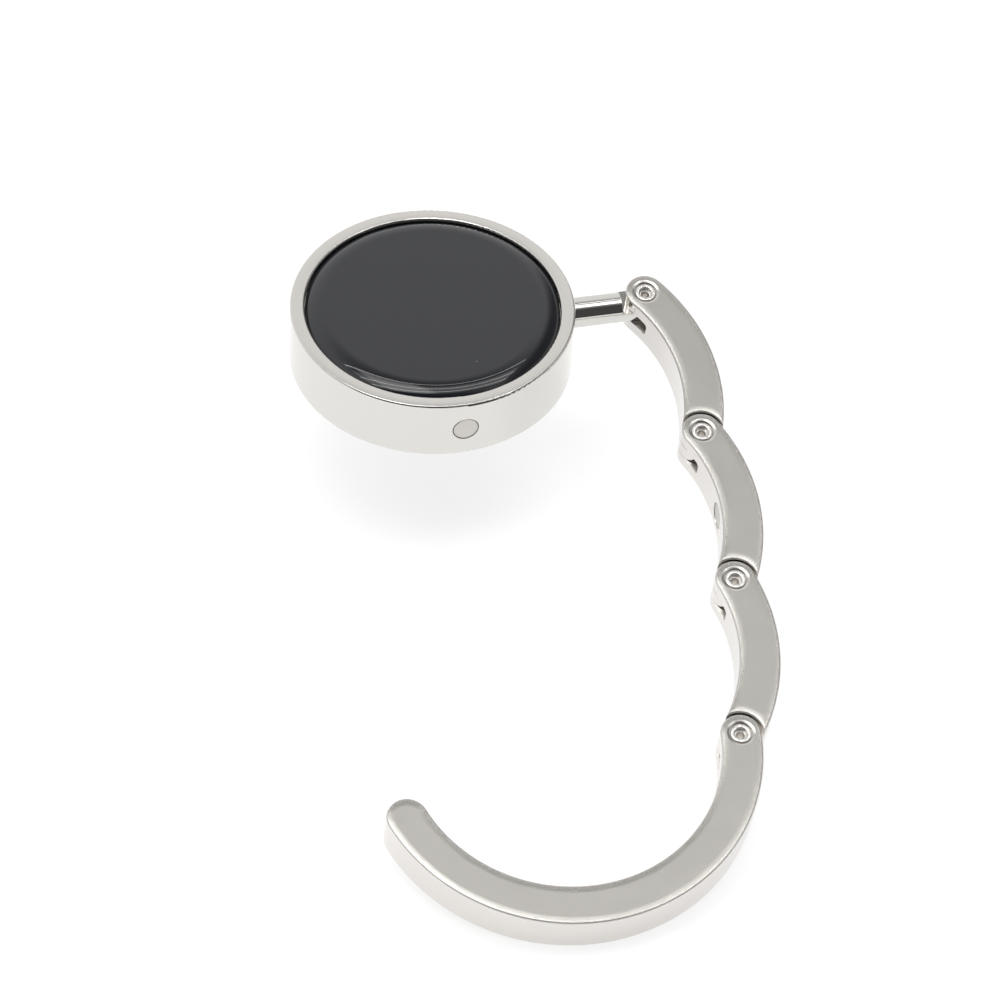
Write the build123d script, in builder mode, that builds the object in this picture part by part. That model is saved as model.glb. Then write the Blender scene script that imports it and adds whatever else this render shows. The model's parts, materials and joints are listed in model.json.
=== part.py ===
# Folding purse hook: a round head with a rubber pad, and a chain that wraps round it
#
# Millimetres. The origin is the middle of the pad's underside, +Z is up, and the stem
# leaves the head along +X. At rest the chain is pulled out and swivelled a little down.
from build123d import *
from math import acos, asin, atan2, cos, degrees, radians, sin
import os

os.makedirs("parts", exist_ok=True)

# Head
head_radius = 22.5
head_height = 10.4
rim_width = 2.3
recess_depth = 1.2
deck_thickness = 1.2
rim_rounding = 0.35
bezel_inner_rounding = 0.3
foot_rounding = 0.3
cavity_wall = 4.5

# Inlay and dome
inlay_thickness = 0.3
inlay_clearance = 0.1
dome_edge_drop = 0.75
dome_rise = 1.4
dome_shoulder = 3.2

# Pad and base cover
pad_thickness = 1.2
pad_proud = 0.4
pad_clearance = 0.2
pad_rounding = 0.3
cover_thickness = 1.4
cover_seat_width = 1.5

# Cover screws
screw_count = 3
screw_start_angle = 60.0
screw_circle_radius = 14.6
screw_shank_radius = 0.8
screw_head_radius = 1.6
screw_head_height = 0.8
screw_length = 5.4
screw_slot_width = 0.4
screw_slot_depth = 0.35
post_radius = 2.3

# Magnets
magnet_radius = 2.0
magnet_length = 1.8
magnet_set_back = 0.06
magnet_gap = 0.1
rim_magnet_angle = -88.2

# Stem
stem_radius = 2.45
stem_reach = 34.4
stem_travel = 7.4
stem_flat_length = 3.9
bore_clearance = 0.07
journal_radius = 1.5
journal_clearance = 0.05
stem_mouth_chamfer = 0.25

# Slider, washer and friction ring
slider_length = 4.0
slider_width = 7.0
slide_clearance = 0.1
guide_wall = 1.4
washer_radius = 2.5
washer_thickness = 0.7
peen_radius = 2.0
peen_height = 0.6
ring_section_radius = 0.4
ring_depth = 1.9
ring_gap = 0.05

# Links and hook
link_width = 6.3
link_thickness = 7.2
link_pitch = 27.0
link_bow_radius = 28.9
hook_bow_radius = 27.0
hook_sweep = 156.7
edge_rounding = 0.25
tongue_thickness = 2.4
tongue_gap = 0.1
slot_run = 3.7
slot_corner_rounding = 0.6
shoulder_share = 1.105

# Rivets
rivet_radius = 1.35
rivet_bore_radius = 0.92
rivet_play = 0.05
rivet_head_radius = 1.64
rivet_head_height = 0.5
rivet_head_rounding = 0.24
rivet_set_back = 0.15
counterbore_gap = 0.22
dish_width = 0.36
dish_depth = 0.13

# Pose at rest, in degrees: the swivel about the stem, the heading of each link's two
# pins, and the heading of the hook where it leaves its pin
chain_swivel = 12.6
link_headings = [-83.2, -91.8, -101.2]
hook_heading = -94.8

overrun = 1.0

# Heights and radii that follow from the sizes above
body_floor = pad_proud
body_top = body_floor + head_height
stem_height = body_floor + head_height / 2
recess_radius = head_radius - rim_width
recess_floor = body_top - recess_depth
ceiling = recess_floor - deck_thickness
cavity_radius = head_radius - cavity_wall
cover_radius = cavity_radius + cover_seat_width
cover_top = pad_thickness + cover_thickness
post_circle = PolarLocations(screw_circle_radius, screw_count, screw_start_angle)

# The slider at rest stands against the boss of the bore
slider_half_width = slider_width / 2
channel_half_width = slider_half_width + slide_clearance
guide_half_width = channel_half_width + guide_wall
boss_face = cavity_radius - guide_wall
slider_outer = boss_face - slide_clearance
slider_inner = slider_outer - slider_length
washer_outer = slider_inner - slide_clearance
journal_end = washer_outer - washer_thickness
channel_end = journal_end - peen_height - stem_travel - slide_clearance
slider_floor = cover_top + slide_clearance
slider_roof = ceiling - slide_clearance
ring_x = head_radius - ring_depth
ring_inner_radius = stem_radius + ring_gap
ring_outer_radius = ring_inner_radius + 2 * ring_section_radius

# Round section ends of links and hook
ear_radius = link_width / 2
shoulder_radius = ear_radius * shoulder_share
slot_half = tongue_thickness / 2 + tongue_gap
half_thickness = link_thickness / 2
counterbore_radius = rivet_head_radius + counterbore_gap
counterbore_depth = rivet_head_height + rivet_set_back
dish_angle = degrees(atan2(dish_width, dish_depth))

# The chain's own plane: its z is the direction of every hinge pin
chain_z = Vector(0, -sin(radians(chain_swivel)), cos(radians(chain_swivel)))
chain_plane = Plane(origin=(0, 0, stem_height), x_dir=(1, 0, 0), z_dir=chain_z)


def along(radius, angle):
    """The point at a radius and an angle in degrees round the origin."""
    return (radius * cos(radians(angle)), radius * sin(radians(angle)))


def turned(place, heading):
    """A plane on the chain's plane at a place, with its x along a heading in degrees."""
    return Plane(
        origin=chain_plane.from_local_coords(place),
        x_dir=chain_plane.from_local_coords(along(1, heading)) - chain_plane.origin,
        z_dir=chain_z,
    )


# Places of the four hinge pins in the chain's plane
pin_places = [(stem_reach, 0)]
for heading in link_headings:
    step = along(link_pitch, heading)
    pin_places.append((pin_places[-1][0] + step[0], pin_places[-1][1] + step[1]))

# A link bows outwards over its pitch: half of the turn from one pin to the other
half_turn = degrees(asin(link_pitch / 2 / link_bow_radius))
link_planes = [
    turned(place, heading + half_turn) for place, heading in zip(pin_places, link_headings)
]
hook_plane = turned(pin_places[3], hook_heading)
pin_planes = link_planes + [hook_plane]


def far_end(bow_radius, sweep):
    """Where the centre line of a bowed piece ends, from its ear at the origin."""
    x, y = along(bow_radius, 90 - sweep)
    return (x, y - bow_radius)


def shoulder_turn(radius, bow_radius):
    """Degrees from the far pin back to where the shoulder's circle cuts an arc."""
    numerator = radius ** 2 + bow_radius ** 2 - shoulder_radius ** 2
    return degrees(acos(numerator / (2 * radius * bow_radius)))


def ear_profile(bow_radius, sweep, round_end):
    """Outline of a bowed piece that starts at the origin and runs along +X.

    It has a round ear about the origin. It ends round, or in the hollow shoulder that
    stands off the next piece's ear, whose pin is at the end of the sweep.
    """
    centre = (0, -bow_radius)
    outer = bow_radius + ear_radius
    inner = bow_radius - ear_radius
    far_pin = far_end(bow_radius, sweep)
    outer_cut = 0 if round_end else shoulder_turn(outer, bow_radius)
    inner_cut = 0 if round_end else shoulder_turn(inner, bow_radius)
    CenterArc((0, 0), ear_radius, 90, 180)
    outer_edge = CenterArc(centre, outer, 90, -(sweep - outer_cut))
    inner_edge = CenterArc(centre, inner, 90, -(sweep - inner_cut))
    if round_end:
        CenterArc(far_pin, ear_radius, 90 - sweep, -180)
    else:
        start = outer_edge @ 1
        end = inner_edge @ 1
        start_angle = degrees(atan2(start.Y - far_pin[1], start.X - far_pin[0]))
        end_angle = degrees(atan2(end.Y - far_pin[1], end.X - far_pin[0]))
        CenterArc(far_pin, shoulder_radius, start_angle, (end_angle - start_angle) % 360)


def bowed_piece(plane, bow_radius, sweep, has_tongue, pocket_at=None):
    """A link or the hook, with its ears at the plane's origin and its x along its run.

    A magnet's pocket is cut towards the far side of the plane pocket_at, if one is given.
    """
    far_pin = far_end(bow_radius, sweep)
    with BuildPart() as piece:
        # Bar with the ear at one end, its long edges rounded
        with BuildSketch(plane):
            with BuildLine():
                ear_profile(bow_radius, sweep, round_end=not has_tongue)
            make_face()
        extrude(amount=half_thickness, both=True)
        flat_faces = piece.faces().filter_by(Axis(plane.origin, plane.z_dir))
        fillet(flat_faces.edges(), edge_rounding)

        # Tongue with its running hole for the next pin
        if has_tongue:
            root_turn = 2 * shoulder_turn(bow_radius, bow_radius)
            with BuildSketch(plane):
                with BuildLine():
                    centre = (0, -bow_radius)
                    outer_edge = CenterArc(centre, bow_radius + ear_radius, 90 - sweep, root_turn)
                    inner_edge = CenterArc(centre, bow_radius - ear_radius, 90 - sweep, root_turn)
                    CenterArc(far_pin, ear_radius, 90 - sweep, -180)
                    Line(outer_edge @ 1, inner_edge @ 1)
                make_face()
            extrude(amount=tongue_thickness / 2, both=True)
            with BuildSketch(plane):
                with Locations(far_pin):
                    Circle(rivet_radius + rivet_play)
            extrude(amount=half_thickness, both=True, mode=Mode.SUBTRACT)

        # Slot between the ears, milled from the side, the corners of its end rounded
        side_plane = Plane(origin=plane.origin, x_dir=plane.x_dir, z_dir=plane.y_dir)
        with BuildSketch(side_plane) as slot:
            mouth = ear_radius + overrun
            with Locations(((slot_run - mouth) / 2, 0)):
                Rectangle(slot_run + mouth, 2 * slot_half)
            fillet(slot.vertices().group_by(Axis.X)[-1], slot_corner_rounding)
        extrude(amount=link_width, both=True, mode=Mode.SUBTRACT)

        # Rivet hole through both ears, with a dished counterbore for each rivet head
        with BuildSketch(plane):
            Circle(rivet_radius)
        extrude(amount=half_thickness, both=True, mode=Mode.SUBTRACT)
        for side in (1, -1):
            face = plane.offset(side * half_thickness)
            with BuildSketch(face):
                Circle(counterbore_radius)
            extrude(amount=-side * counterbore_depth, mode=Mode.SUBTRACT)
            with BuildSketch(face):
                Circle(counterbore_radius + dish_width)
            extrude(amount=-side * dish_depth, taper=dish_angle, mode=Mode.SUBTRACT)

        if pocket_at:
            with BuildSketch(pocket_at.offset(-overrun)):
                Circle(magnet_radius + magnet_gap)
            extrude(amount=magnet_length + overrun, mode=Mode.SUBTRACT)
    return piece


def finish(part, name):
    """Give a finished piece its name and write it."""
    part.label = name
    export_step(part, f"parts/{name}.step")


# Head housing: a casting, open below, with a boss and a guide for the stem's slider
with BuildPart() as head_housing:
    with BuildSketch(Plane.XY.offset(body_floor)):
        Circle(head_radius)
    extrude(amount=head_height)
    top_edge = head_housing.faces().sort_by(Axis.Z)[-1].edges()
    fillet(top_edge, rim_rounding)
    foot_edge = head_housing.faces().sort_by(Axis.Z)[0].edges()
    fillet(foot_edge, foot_rounding)
    with BuildSketch(Plane.XY.offset(recess_floor)):
        Circle(recess_radius)
    extrude(amount=recess_depth, mode=Mode.SUBTRACT)
    bezel = head_housing.faces().filter_by(Axis.Z).sort_by(Axis.Z)[-1]
    fillet(bezel.inner_wires().edges(), bezel_inner_rounding)

    # Seat of the base cover and the pad, and the cavity above it
    with BuildSketch(Plane.XY.offset(body_floor)):
        Circle(cover_radius)
    extrude(amount=cover_top - body_floor, mode=Mode.SUBTRACT)
    with BuildSketch(Plane.XY.offset(cover_top)):
        Circle(cavity_radius)
    extrude(amount=ceiling - cover_top, mode=Mode.SUBTRACT)

    # Guide block with the slider's channel, and the posts of the cover screws
    guide_start = channel_end - guide_wall
    guide_stop = cavity_radius + guide_wall
    with BuildSketch(Plane.XY.offset(cover_top)):
        with Locations(((guide_start + guide_stop) / 2, 0)):
            Rectangle(guide_stop - guide_start, 2 * guide_half_width)
        with post_circle:
            Circle(post_radius)
    extrude(amount=ceiling - cover_top)
    with BuildSketch(Plane.XY.offset(cover_top)):
        with Locations(((channel_end + boss_face) / 2, 0)):
            Rectangle(boss_face - channel_end, 2 * channel_half_width)
        with post_circle:
            Circle(screw_shank_radius)
    extrude(amount=ceiling - cover_top, mode=Mode.SUBTRACT)

    # Bore for the stem, its mouth, and the groove of the friction ring
    bore_radius = stem_radius + bore_clearance
    with BuildSketch(Plane.YZ.offset(boss_face - overrun)):
        with Locations((0, stem_height)):
            Circle(bore_radius)
    extrude(amount=head_radius - boss_face + 2 * overrun, mode=Mode.SUBTRACT)
    with BuildSketch(Plane.YZ.offset(head_radius)):
        with Locations((0, stem_height)):
            Circle(bore_radius + stem_mouth_chamfer)
    extrude(amount=-stem_mouth_chamfer, taper=45, mode=Mode.SUBTRACT)
    with BuildSketch(Plane.YZ.offset(ring_x - ring_section_radius)):
        with Locations((0, stem_height)):
            Circle(ring_outer_radius)
    extrude(amount=2 * ring_section_radius, mode=Mode.SUBTRACT)

    # Pocket of the rim magnet
    rim_out = Vector(*along(1, rim_magnet_angle))
    magnet_back = head_radius - magnet_set_back - magnet_length
    pocket_plane = Plane(
        origin=rim_out * magnet_back + Vector(0, 0, stem_height),
        x_dir=(0, 0, 1),
        z_dir=rim_out,
    )
    with BuildSketch(pocket_plane):
        Circle(magnet_radius + magnet_gap)
    extrude(amount=magnet_length + overrun, mode=Mode.SUBTRACT)
finish(head_housing.part, "head_housing")

# Inlay plate: the flat black disc in the recess
with BuildPart() as inlay_plate:
    with BuildSketch(Plane.XY.offset(recess_floor)):
        Circle(recess_radius - inlay_clearance)
    extrude(amount=inlay_thickness)
finish(inlay_plate.part, "inlay_plate")

# Epoxy dome: cast over the inlay, level in the middle, and drawn down at its edge by a
# rounded shoulder that ends below the bezel
dome_floor = recess_floor + inlay_thickness
dome_edge = body_top - dome_edge_drop
dome_top = dome_edge + dome_rise
dome_radius = recess_radius - inlay_clearance
level_radius = dome_radius - dome_shoulder
shoulder_bend = (dome_shoulder ** 2 + dome_rise ** 2) / (2 * dome_rise)
shoulder_slope = degrees(asin(dome_shoulder / shoulder_bend))
with BuildPart() as epoxy_dome:
    with BuildSketch(Plane.XZ):
        with BuildLine():
            Polyline(
                (level_radius, dome_top),
                (0, dome_top),
                (0, dome_floor),
                (dome_radius, dome_floor),
                (dome_radius, dome_edge),
            )
            bend_centre = (level_radius, dome_top - shoulder_bend)
            CenterArc(bend_centre, shoulder_bend, 90 - shoulder_slope, shoulder_slope)
        make_face()
    revolve(axis=Axis.Z)
finish(epoxy_dome.part, "epoxy_dome")

# Base cover: closes the casting, with countersunk screw holes
with BuildPart() as base_cover:
    with BuildSketch(Plane.XY.offset(pad_thickness)):
        Circle(cover_radius)
    extrude(amount=cover_thickness)
    with BuildSketch(Plane.XY.offset(pad_thickness)):
        with post_circle:
            Circle(screw_shank_radius)
    extrude(amount=cover_thickness, mode=Mode.SUBTRACT)
    with BuildSketch(Plane.XY.offset(pad_thickness)):
        with post_circle:
            Circle(screw_head_radius)
    countersink_angle = degrees(atan2(screw_head_radius - screw_shank_radius, screw_head_height))
    extrude(amount=screw_head_height, taper=countersink_angle, mode=Mode.SUBTRACT)
finish(base_cover.part, "base_cover")

# Cover screws: countersunk, slotted, driven up into the posts
with BuildPart() as cover_screws:
    with BuildSketch(Plane.XY.offset(pad_thickness)):
        with post_circle:
            Circle(screw_shank_radius)
    extrude(amount=screw_length)
    with BuildSketch(Plane.XY.offset(pad_thickness)):
        with post_circle:
            Circle(screw_head_radius)
    extrude(amount=screw_head_height, taper=countersink_angle)
    with BuildSketch(Plane.XY.offset(pad_thickness)):
        with post_circle:
            Rectangle(2 * screw_head_radius, screw_slot_width)
    extrude(amount=screw_slot_depth, mode=Mode.SUBTRACT)
finish(cover_screws.part, "cover_screws")

# Grip pad: stands proud of the casting, so that the head rests on rubber
with BuildPart() as grip_pad:
    with BuildSketch():
        Circle(cover_radius - pad_clearance)
    extrude(amount=pad_thickness)
    fillet(grip_pad.faces().sort_by(Axis.Z)[0].edges(), pad_rounding)
finish(grip_pad.part, "grip_pad")

# Rim magnet: set flush in the wall
with BuildPart() as rim_magnet:
    with BuildSketch(pocket_plane):
        Circle(magnet_radius)
    extrude(amount=magnet_length)
finish(rim_magnet.part, "rim_magnet")

# Friction ring: rubber, in the bore's groove
with BuildPart() as friction_ring:
    with BuildSketch(Plane.XZ):
        with Locations((ring_x, stem_height + ring_inner_radius + ring_section_radius)):
            Circle(ring_section_radius)
    revolve(axis=Axis((0, 0, stem_height), (1, 0, 0)))
finish(friction_ring.part, "friction_ring")

# Stem slider: runs in the channel and carries the stem's inner end
with BuildPart() as stem_slider:
    with BuildSketch(Plane.XY.offset(slider_floor)):
        with Locations(((slider_inner + slider_outer) / 2, 0)):
            Rectangle(slider_length, slider_width)
    extrude(amount=slider_roof - slider_floor)
    with BuildSketch(Plane.YZ.offset(slider_inner)):
        with Locations((0, stem_height)):
            Circle(journal_radius + journal_clearance)
    extrude(amount=slider_length, mode=Mode.SUBTRACT)
finish(stem_slider.part, "stem_slider")

# Stem: bar, journal with a peened end, and the flat tongue of the first hinge
stem_plane = Plane(origin=(0, 0, stem_height), x_dir=chain_plane.y_dir, z_dir=(1, 0, 0))
stem_shoulder = slider_outer + slide_clearance / 2
bar_end = stem_reach - stem_flat_length
stem_end = stem_reach + stem_radius
with BuildPart() as stem:
    with BuildSketch(stem_plane.offset(stem_shoulder)):
        Circle(stem_radius)
    extrude(amount=stem_end - stem_shoulder)

    # Flats above and below the tongue
    for side in (1, -1):
        with BuildSketch(chain_plane.offset(side * tongue_thickness / 2)):
            with Locations(((bar_end + stem_end) / 2 + overrun, 0)):
                Rectangle(stem_end - bar_end + 2 * overrun, 2 * stem_radius + overrun)
        extrude(amount=side * stem_radius, mode=Mode.SUBTRACT)

    # Round nose about the pin, and the pin's running hole
    with BuildSketch(chain_plane):
        with Locations((stem_reach + stem_radius, 0)):
            Rectangle(2 * stem_radius, 2 * stem_radius + overrun)
        with Locations((stem_reach, 0)):
            Circle(stem_radius, mode=Mode.SUBTRACT)
            Circle(rivet_radius + rivet_play)
    extrude(amount=tongue_thickness, both=True, mode=Mode.SUBTRACT)

    # Journal through the slider, and the peened end behind the washer
    with BuildSketch(stem_plane.offset(journal_end)):
        Circle(journal_radius)
    extrude(amount=stem_shoulder - journal_end)
    with BuildSketch(stem_plane.offset(journal_end)):
        Circle(peen_radius)
    extrude(amount=-peen_height)
    fillet(stem.faces().sort_by(Axis.X)[0].edges(), peen_height / 2)
finish(stem.part, "stem")

# Stem washer: riveted on the journal behind the slider
with BuildPart() as stem_washer:
    with BuildSketch(stem_plane.offset(journal_end)):
        Circle(washer_radius)
        Circle(journal_radius, mode=Mode.SUBTRACT)
    extrude(amount=washer_thickness)
finish(stem_washer.part, "stem_washer")

# The link magnet's seat: in the middle of the second link's inner side
second = link_planes[1]
bow_centre = second.from_local_coords((0, -link_bow_radius))
outwards = second.from_local_coords(along(1, 90 - half_turn)) - second.origin
magnet_seat = link_bow_radius - ear_radius + magnet_set_back
magnet_plane = Plane(
    origin=bow_centre + outwards * magnet_seat, x_dir=second.z_dir, z_dir=outwards
)

# Three links, alike but for the magnet's pocket in the second
pockets = [None, magnet_plane, None]
for number, (plane, pocket_at) in enumerate(zip(link_planes, pockets), start=1):
    link = bowed_piece(plane, link_bow_radius, 2 * half_turn, True, pocket_at)
    finish(link.part, f"link_{number}")

# Link magnet: meets the rim magnet when the chain is wrapped round the head
with BuildPart() as link_magnet:
    with BuildSketch(magnet_plane):
        Circle(magnet_radius)
    extrude(amount=magnet_length)
finish(link_magnet.part, "link_magnet")

# Hook: an open bow with a round tip
hook = bowed_piece(hook_plane, hook_bow_radius, hook_sweep, False)
finish(hook.part, "hook")

# Tubular rivets: pressed into the ears, running in the tongue between them
head_face = half_thickness - rivet_set_back
head_seat = half_thickness - counterbore_depth
for number, plane in enumerate(pin_planes, start=1):
    with BuildPart() as hinge_pin:
        with BuildSketch(plane):
            Circle(rivet_radius)
            Circle(rivet_bore_radius, mode=Mode.SUBTRACT)
        extrude(amount=head_seat, both=True)
        for side in (1, -1):
            with BuildSketch(plane.offset(side * head_seat)):
                Circle(rivet_head_radius)
                Circle(rivet_bore_radius, mode=Mode.SUBTRACT)
            extrude(amount=side * rivet_head_height)
        end_faces = hinge_pin.faces().filter_by(Axis(plane.origin, plane.z_dir))
        end_faces = end_faces.sort_by(Axis(plane.origin, plane.z_dir))
        fillet(end_faces[0].edges() + end_faces[-1].edges(), rivet_head_rounding)
    finish(hinge_pin.part, f"hinge_pin_{number}")
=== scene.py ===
# %% [markdown]
# A folding purse hook, dressed in nickel, black resin and rubber
#
# The real object is cast and plated metal, so its shape is already true in the construction
# model that this script loads. What is left to make here is what the eye reads as quality:
# how sharp or soft each surface mirrors the room, the poured dome, the rolled rivets and the
# light. The frame is loaded first, because the places and sizes of the pieces come from it.

# %% The construction model as a fixed frame
import bpy
import json
from math import asin, atan2, cos, degrees, pi, radians, sin
from mathutils import Matrix, Vector


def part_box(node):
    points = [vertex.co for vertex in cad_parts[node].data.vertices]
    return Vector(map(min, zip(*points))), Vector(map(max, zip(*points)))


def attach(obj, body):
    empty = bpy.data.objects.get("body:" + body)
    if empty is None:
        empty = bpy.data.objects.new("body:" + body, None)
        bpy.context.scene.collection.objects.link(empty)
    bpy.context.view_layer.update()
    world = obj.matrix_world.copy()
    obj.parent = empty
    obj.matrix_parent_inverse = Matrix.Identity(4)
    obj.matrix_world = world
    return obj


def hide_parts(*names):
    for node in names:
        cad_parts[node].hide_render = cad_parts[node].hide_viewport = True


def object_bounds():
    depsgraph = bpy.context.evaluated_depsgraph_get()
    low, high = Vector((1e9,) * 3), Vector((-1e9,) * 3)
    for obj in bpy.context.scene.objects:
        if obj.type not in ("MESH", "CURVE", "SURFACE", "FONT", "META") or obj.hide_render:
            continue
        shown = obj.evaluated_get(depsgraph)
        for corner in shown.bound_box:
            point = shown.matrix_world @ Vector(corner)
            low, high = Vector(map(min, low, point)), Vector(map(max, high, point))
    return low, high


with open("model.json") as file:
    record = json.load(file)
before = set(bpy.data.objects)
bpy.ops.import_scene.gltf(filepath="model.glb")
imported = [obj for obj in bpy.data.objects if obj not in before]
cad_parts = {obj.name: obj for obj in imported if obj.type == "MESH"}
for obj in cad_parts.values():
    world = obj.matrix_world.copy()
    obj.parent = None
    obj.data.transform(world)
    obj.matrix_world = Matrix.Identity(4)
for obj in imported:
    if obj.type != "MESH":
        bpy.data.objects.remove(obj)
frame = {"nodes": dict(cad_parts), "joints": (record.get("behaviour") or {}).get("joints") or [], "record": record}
nodes = frame["nodes"]
joints = {joint["name"]: joint for joint in frame["joints"]}
cad_low, cad_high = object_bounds()
MM = 0.001
ORIGIN = Vector((0, 0, 0))
UP = Vector((0, 0, 1))
print("box in mm:", [round(side / MM, 2) for side in cad_high - cad_low])

# %% [markdown]
# The camera
#
# A small object photographed from most of a metre away looks almost without perspective, and
# only a long lens keeps it so. The camera is placed as a photographer would say it: how far
# round, how high, how far away in metres, how much the camera was tipped, and where in the
# picture the middle of the head's foot falls. The lens is given in pixels too: a thing one
# metre away and one metre wide would be that many pixels across.

# %% Camera
CAMERA_ROUND = radians(-14.829)
CAMERA_HEIGHT = radians(45.940)
CAMERA_TIP = radians(3.4365)
CAMERA_DISTANCE = 0.79377
PICTURE_SIDE = 1000
LENS_PIXELS = 5000
HEAD_PIXEL = (430.72, 353.64)
SENSOR_WIDTH = 36.0

housing_low, housing_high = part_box("head_housing")
head_foot = Vector((0, 0, housing_low.z))


def make_camera():
    """A camera that looks at the head from the photograph's side, height and distance."""
    back = Vector((
        sin(CAMERA_ROUND) * cos(CAMERA_HEIGHT),
        -cos(CAMERA_ROUND) * cos(CAMERA_HEIGHT),
        sin(CAMERA_HEIGHT),
    ))
    level = Vector((cos(CAMERA_ROUND), sin(CAMERA_ROUND), 0))
    upright = back.cross(level)
    right = level * cos(CAMERA_TIP) + upright * sin(CAMERA_TIP)
    up = upright * cos(CAMERA_TIP) - level * sin(CAMERA_TIP)
    metres_per_pixel = CAMERA_DISTANCE / LENS_PIXELS
    across = (HEAD_PIXEL[0] - PICTURE_SIDE / 2) * metres_per_pixel
    down = (HEAD_PIXEL[1] - PICTURE_SIDE / 2) * metres_per_pixel
    place = head_foot + back * CAMERA_DISTANCE - right * across + up * down
    camera = bpy.data.objects.new("camera", bpy.data.cameras.new("camera"))
    bpy.context.scene.collection.objects.link(camera)
    camera.data.sensor_width = SENSOR_WIDTH
    camera.data.lens = LENS_PIXELS / PICTURE_SIDE * SENSOR_WIDTH
    camera.matrix_world = Matrix((
        (right.x, up.x, back.x, place.x),
        (right.y, up.y, back.y, place.y),
        (right.z, up.z, back.z, place.z),
        (0, 0, 0, 1),
    ))
    bpy.context.scene.camera = camera
    return camera


camera = make_camera()
print("camera at", [round(c, 4) for c in camera.location], "lens", camera.data.lens)

# %% [markdown]
# Sums on sockets
#
# A shader is a long sum, and a long sum is easier to read as a line of Python than as a web of
# nodes. One small class wraps a socket, so that a + b adds a Math node, and one method makes
# every other node. The same two work in a Geometry Nodes tree, whose Math node is the same.


# %% Helper: sockets that can be added up, and trees that make nodes
class Flow:
    """A value that flows through a node tree. Sums on it add Math nodes."""

    def __init__(self, tree, socket):
        self.tree = tree
        self.socket = socket

    def math(self, operation, first, second=None):
        values = {0: first} if second is None else {0: first, 1: second}
        return self.tree.node("ShaderNodeMath", {"operation": operation}, values)

    def __add__(self, other):
        return self.math("ADD", self, other)

    __radd__ = __add__

    def __mul__(self, other):
        return self.math("MULTIPLY", self, other)

    __rmul__ = __mul__

    def __sub__(self, other):
        return self.math("SUBTRACT", self, other)

    def __rsub__(self, other):
        return self.math("SUBTRACT", other, self)

    def __truediv__(self, other):
        return self.math("DIVIDE", self, other)

    def __pow__(self, other):
        return self.math("POWER", self, other)

    def size(self):
        """The value without its sign."""
        return self.math("ABSOLUTE", self)

    def at_least(self, least):
        """This value or another, whichever is greater."""
        return self.math("MAXIMUM", self, least)

    def between(self, low, high):
        """0 below low, 1 above high, and a soft slope between them."""
        slope = {"interpolation_type": "SMOOTHSTEP"}
        return self.tree.node("ShaderNodeMapRange", slope, {0: self, 1: low, 2: high})

    def share(self, low, high):
        """0 below low, 1 above high, and an even slope between them."""
        return self.tree.node("ShaderNodeMapRange", inputs={0: self, 1: low, 2: high})

    def part(self, letter):
        """The X, Y or Z of a vector."""
        return self.tree.node("ShaderNodeSeparateXYZ", inputs={0: self}, output=letter)

    def minus(self, vector):
        """This vector less another."""
        subtract = {"operation": "SUBTRACT"}
        return self.tree.node("ShaderNodeVectorMath", subtract, {0: self, 1: vector})

    def dot(self, vector):
        """How far this vector reaches along another of length one."""
        product = {"operation": "DOT_PRODUCT"}
        return self.tree.node("ShaderNodeVectorMath", product, {0: self, 1: vector}, "Value")

    def length(self):
        """The length of a vector."""
        measure = {"operation": "LENGTH"}
        return self.tree.node("ShaderNodeVectorMath", measure, {0: self}, "Value")


class Tree:
    """A node tree, and the one method that makes its nodes."""

    def __init__(self, nodes_and_links):
        self.nodes = nodes_and_links.nodes
        self.links = nodes_and_links.links

    def node(self, kind, settings=None, inputs=None, output=0):
        """Make a node. Its settings are set first, then its sockets by number or name."""
        made = self.nodes.new(kind)
        for name, value in (settings or {}).items():
            setattr(made, name, value)
        for name, value in (inputs or {}).items():
            for flow in value if isinstance(value, list) else [value]:
                if isinstance(flow, Flow):
                    self.links.new(flow.socket, made.inputs[name])
                else:
                    made.inputs[name].default_value = flow
        return Flow(self, made.outputs[output]) if len(made.outputs) else made

    def vector(self, x, y, z):
        """A vector of three values."""
        return self.node("ShaderNodeCombineXYZ", inputs={"X": x, "Y": y, "Z": z})


# %% [markdown]
# Sizes read from the frame
#
# A rivet drawn here has to be as large as the one it stands for, so its sizes aren't typed
# again but measured. A node's place is in its mesh, so a round piece is measured there: how far
# its points lie along its axis, and how far from it. The four rivets share one direction, which
# the first hinge gives.

# %% Helper: how far a round piece reaches along its axis and out from it
PIN_AXIS = Vector(joints["hinge_1"]["axis"])
PIN_TILT = atan2(-PIN_AXIS.y, PIN_AXIS.z)


def round_sizes(node, centre, axis):
    """Distances of a node's points along an axis and out from it, as two lists."""
    steps = [vertex.co - centre for vertex in nodes[node].data.vertices]
    along = [step.dot(axis) for step in steps]
    out = [(step - axis * reach).length for step, reach in zip(steps, along)]
    return along, out


def middle_of(node):
    """The middle of a node's box."""
    low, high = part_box(node)
    return (low + high) / 2


pin_along, pin_out = round_sizes("hinge_pin_1", middle_of("hinge_pin_1"), PIN_AXIS)
PIN_HALF_LENGTH = max(pin_along)
FLANGE_RADIUS = max(pin_out)
BORE_RADIUS = min(pin_out)
print("rivet in mm: half length", PIN_HALF_LENGTH / MM, "flange", FLANGE_RADIUS / MM)
print("bore", BORE_RADIUS / MM, "tilt in degrees", degrees(PIN_TILT))

# %% [markdown]
# Finishes
#
# Every finish below is one Principled shader. What makes nickel look like nickel isn't its
# colour but how rough it is from place to place, so most of the nodes work out a roughness and
# a very small height for the bump. A helper opens a finish, one makes noise of a size given in
# millimetres, and one turns a height in millimetres into a normal. Noise swings about a half, so
# what should go both ways from a plain value adds the noise less its middle. In all that
# follows, sizes and heights of a finish are in millimetres, and pairs are where a slope starts
# and where it is complete. A Mix node keeps its sockets for numbers and vectors before those for
# colours, so its two colours are its inputs 6 and 7, and their mix is its output 2.

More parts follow.
